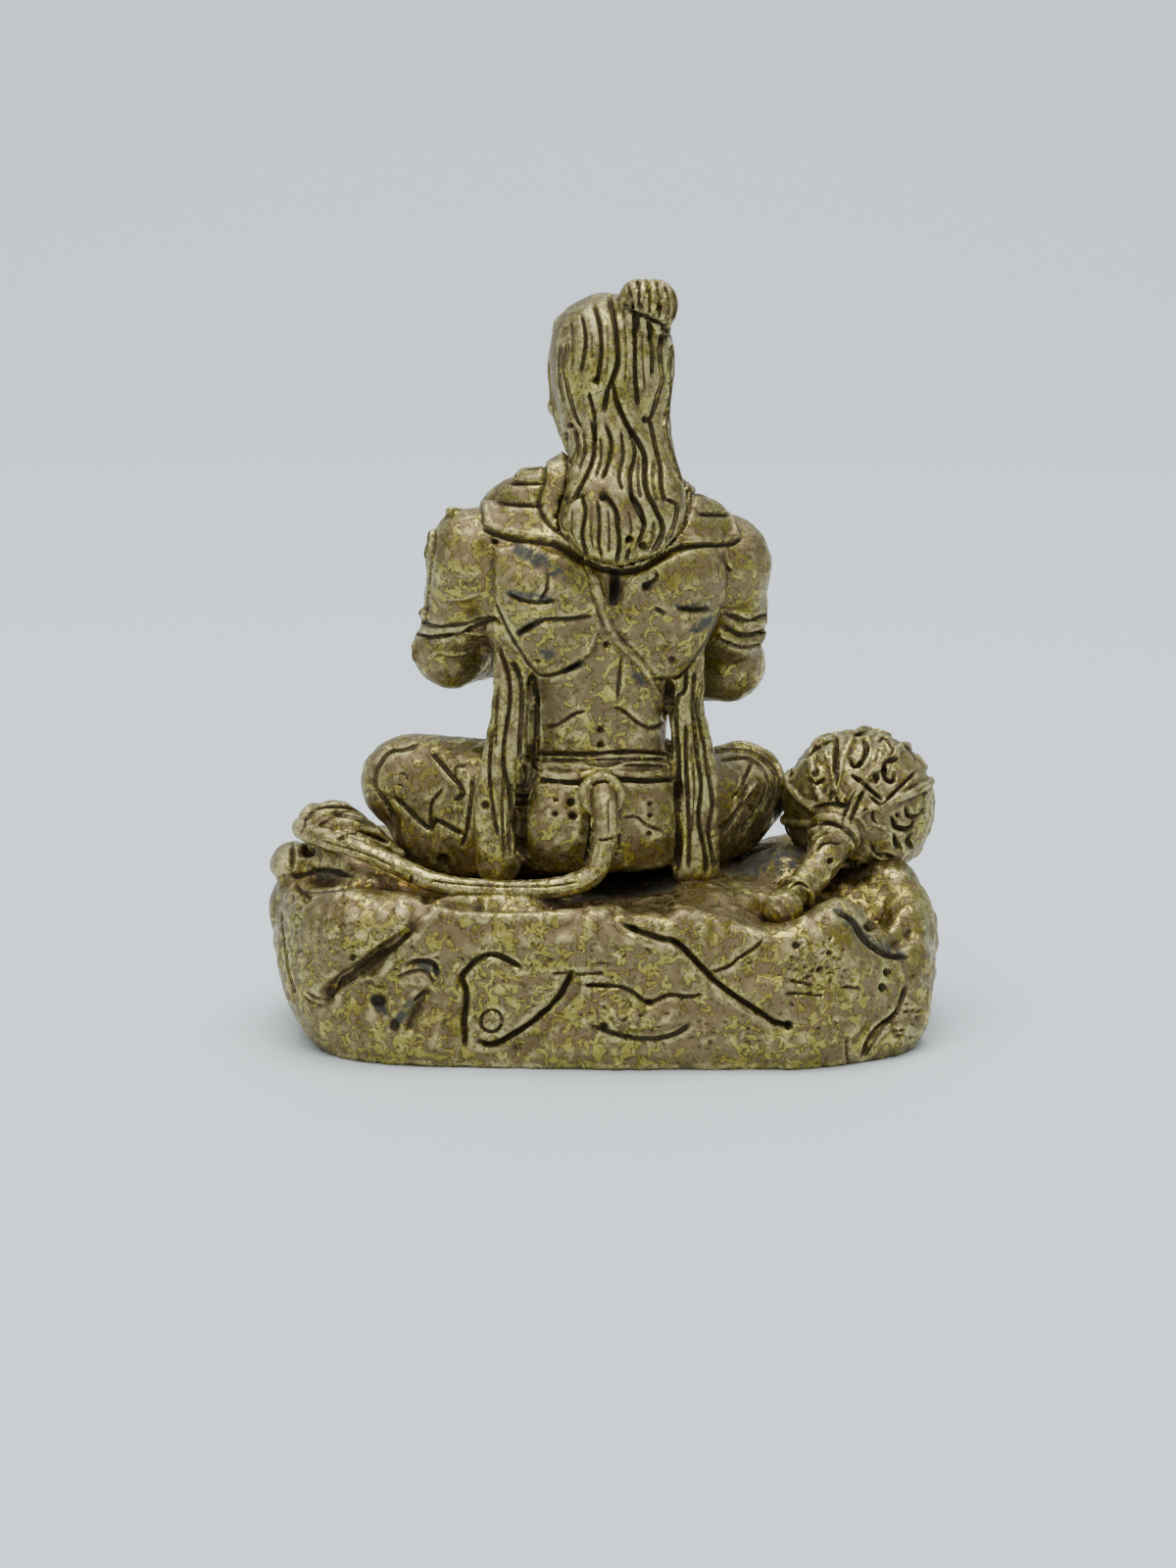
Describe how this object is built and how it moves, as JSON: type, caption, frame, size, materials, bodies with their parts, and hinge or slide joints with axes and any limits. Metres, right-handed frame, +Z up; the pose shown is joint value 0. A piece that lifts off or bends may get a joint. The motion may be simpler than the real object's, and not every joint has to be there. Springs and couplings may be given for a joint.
{
  "type": "hanuman statue",
  "caption": "Small cast brass statue of a seated monkey-headed god with joined palms, crossed legs and a mace beside the knee, on a rock base that stands on its flat underside.",
  "frame": {"origin": "on the underside, below the middle of the whole statue", "axes": "+Z up, the long side of the rock along X, its back towards +Y, so the figure faces -Y and the mace is at -X"},
  "size_m": [0.0316, 0.019, 0.0351],
  "materials": {
    "antique_brass": "aged cast brass: rubbed yellow ridges, mauve-brown tarnish in fine mottling, dark brown grooves and orange-brown recesses"
  },
  "bodies": {
    "root": {"hanuman_statue": "antique_brass"}
  },
  "joints": []
}
